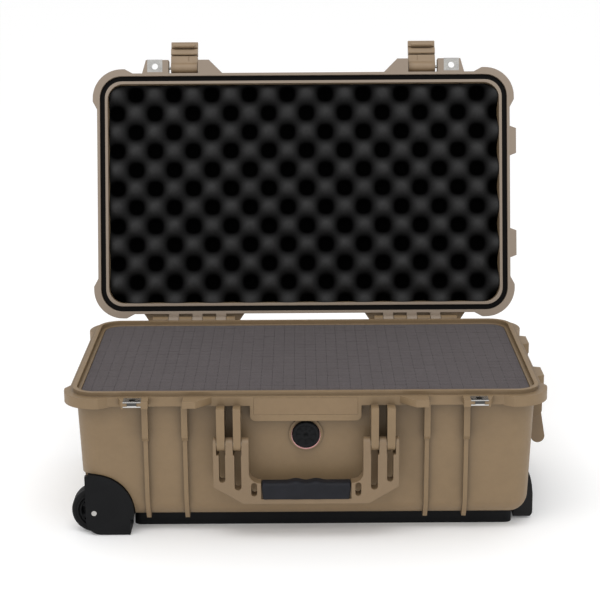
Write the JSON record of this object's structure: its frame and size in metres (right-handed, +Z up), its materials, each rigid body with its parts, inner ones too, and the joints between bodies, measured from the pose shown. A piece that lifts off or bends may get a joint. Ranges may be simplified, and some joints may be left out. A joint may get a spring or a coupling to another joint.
{
  "type": "wheeled hard equipment case",
  "caption": "Moulded hard case with foam-filled base and lid, double-throw latches, carrying handles, wheels and a pull handle, shown open.",
  "frame": {"origin": "on the ground face, under the centre of the base's rim", "axes": "+X to the right towards the pull handle, +Y towards the hinges, +Z up"},
  "size_m": [0.5537, 0.4626, 0.5132],
  "materials": {
    "shell": "matte",
    "shell_trim": "matte",
    "name_plate": "satin",
    "black_plastic": "satin",
    "block_foam": "matte",
    "egg_foam": "matte",
    "rubber": "matte",
    "seal_rubber": "satin",
    "gasket": "satin",
    "membrane": "matte",
    "stainless": "polished",
    "pin_steel": "satin",
    "tubes": "satin",
    "tyre": "matte"
  },
  "bodies": {
    "base": {"base_shell": "shell", "base_foam_top": "block_foam", "base_foam_middle": "block_foam", "base_foam_bottom": "block_foam", "base_eyelet_left": "stainless", "base_eyelet_right": "stainless", "name_plate": "name_plate", "purge_valve_cap": "black_plastic", "purge_valve_gasket": "gasket", "purge_valve_membrane": "membrane", "purge_valve_nut": "black_plastic", "hinge_pin_left": "pin_steel", "hinge_pin_right": "pin_steel", "front_handle_pin_left": "pin_steel", "front_handle_pin_right": "pin_steel", "side_handle_pins": "pin_steel", "trolley_housing": "black_plastic", "trolley_housing_screws": "pin_steel", "trolley_outer_tubes": "tubes", "wheel_housing_front": "black_plastic", "wheel_housing_rear": "black_plastic", "axle_front": "pin_steel", "axle_rear": "pin_steel"},
    "lid": {"lid_shell": "shell", "lid_o_ring": "seal_rubber", "lid_foam": "egg_foam", "lid_eyelet_left": "stainless", "lid_eyelet_right": "stainless", "latch_pin_left": "pin_steel", "latch_pin_right": "pin_steel"},
    "latch_left": {"latch_body_left": "shell_trim", "lever_pin_left": "pin_steel"},
    "lever_left": {"latch_lever_left": "shell_trim"},
    "latch_right": {"latch_body_right": "shell_trim", "lever_pin_right": "pin_steel"},
    "lever_right": {"latch_lever_right": "shell_trim"},
    "front_handle": {"front_handle_frame": "shell_trim", "front_handle_grip": "rubber"},
    "side_handle": {"side_handle_frame": "shell_trim", "side_handle_grip": "rubber"},
    "pull_middle": {"trolley_middle_tubes": "tubes", "trolley_collars": "black_plastic"},
    "pull_handle": {"trolley_inner_tubes": "tubes", "trolley_grip": "black_plastic"},
    "release_button": {"trolley_button": "rubber"},
    "wheel_front": {"wheel_tyre_front": "tyre", "wheel_hub_front": "black_plastic", "wheel_bearings_front": "pin_steel"},
    "wheel_rear": {"wheel_tyre_rear": "tyre", "wheel_hub_rear": "black_plastic", "wheel_bearings_rear": "pin_steel"}
  },
  "joints": [
    {"name": "lid_hinge", "type": "hinge", "parent": "base", "child": "lid", "pos_m": [0, 0.166, 0.1654], "axis": [1, 0, 0], "range_deg": [0, 104]},
    {"name": "latch_left_pivot", "type": "hinge", "parent": "lid", "child": "latch_left", "pos_m": [-0.154, 0.26124, 0.48124], "axis": [1, 0, 0], "range_deg": [0, 100]},
    {"name": "latch_left_lever", "type": "hinge", "parent": "latch_left", "child": "lever_left", "pos_m": [-0.154, 0.27087, 0.49009], "axis": [1, 0, 0], "range_deg": [-40, 0]},
    {"name": "latch_right_pivot", "type": "hinge", "parent": "lid", "child": "latch_right", "pos_m": [0.154, 0.26124, 0.48124], "axis": [1, 0, 0], "range_deg": [0, 100]},
    {"name": "latch_right_lever", "type": "hinge", "parent": "latch_right", "child": "lever_right", "pos_m": [0.154, 0.27087, 0.49009], "axis": [1, 0, 0], "range_deg": [-40, 0]},
    {"name": "front_handle_pivot", "type": "hinge", "parent": "base", "child": "front_handle", "pos_m": [0, -0.1635, 0.115], "axis": [1, 0, 0], "range_deg": [-95, 0]},
    {"name": "side_handle_pivot", "type": "hinge", "parent": "base", "child": "side_handle", "pos_m": [0.267, 0, 0.122], "axis": [0, 1, 0], "range_deg": [-95, 0]},
    {"name": "pull_middle_slide", "type": "slide", "parent": "base", "child": "pull_middle", "axis": [1, 0, 0], "range_m": [0, 0.2]},
    {"name": "pull_handle_slide", "type": "slide", "parent": "pull_middle", "child": "pull_handle", "axis": [1, 0, 0], "range_m": [0, 0.2]},
    {"name": "release_button_press", "type": "slide", "parent": "pull_handle", "child": "release_button", "axis": [-1, 0, 0], "range_m": [0, 0.0038], "stiffness_N_per_m": 600},
    {"name": "wheel_front_spin", "type": "hinge", "parent": "base", "child": "wheel_front", "pos_m": [-0.2407, -0.127, 0.027], "axis": [0, 1, 0], "continuous": true},
    {"name": "wheel_rear_spin", "type": "hinge", "parent": "base", "child": "wheel_rear", "pos_m": [-0.2407, 0.127, 0.027], "axis": [0, 1, 0], "continuous": true}
  ]
}
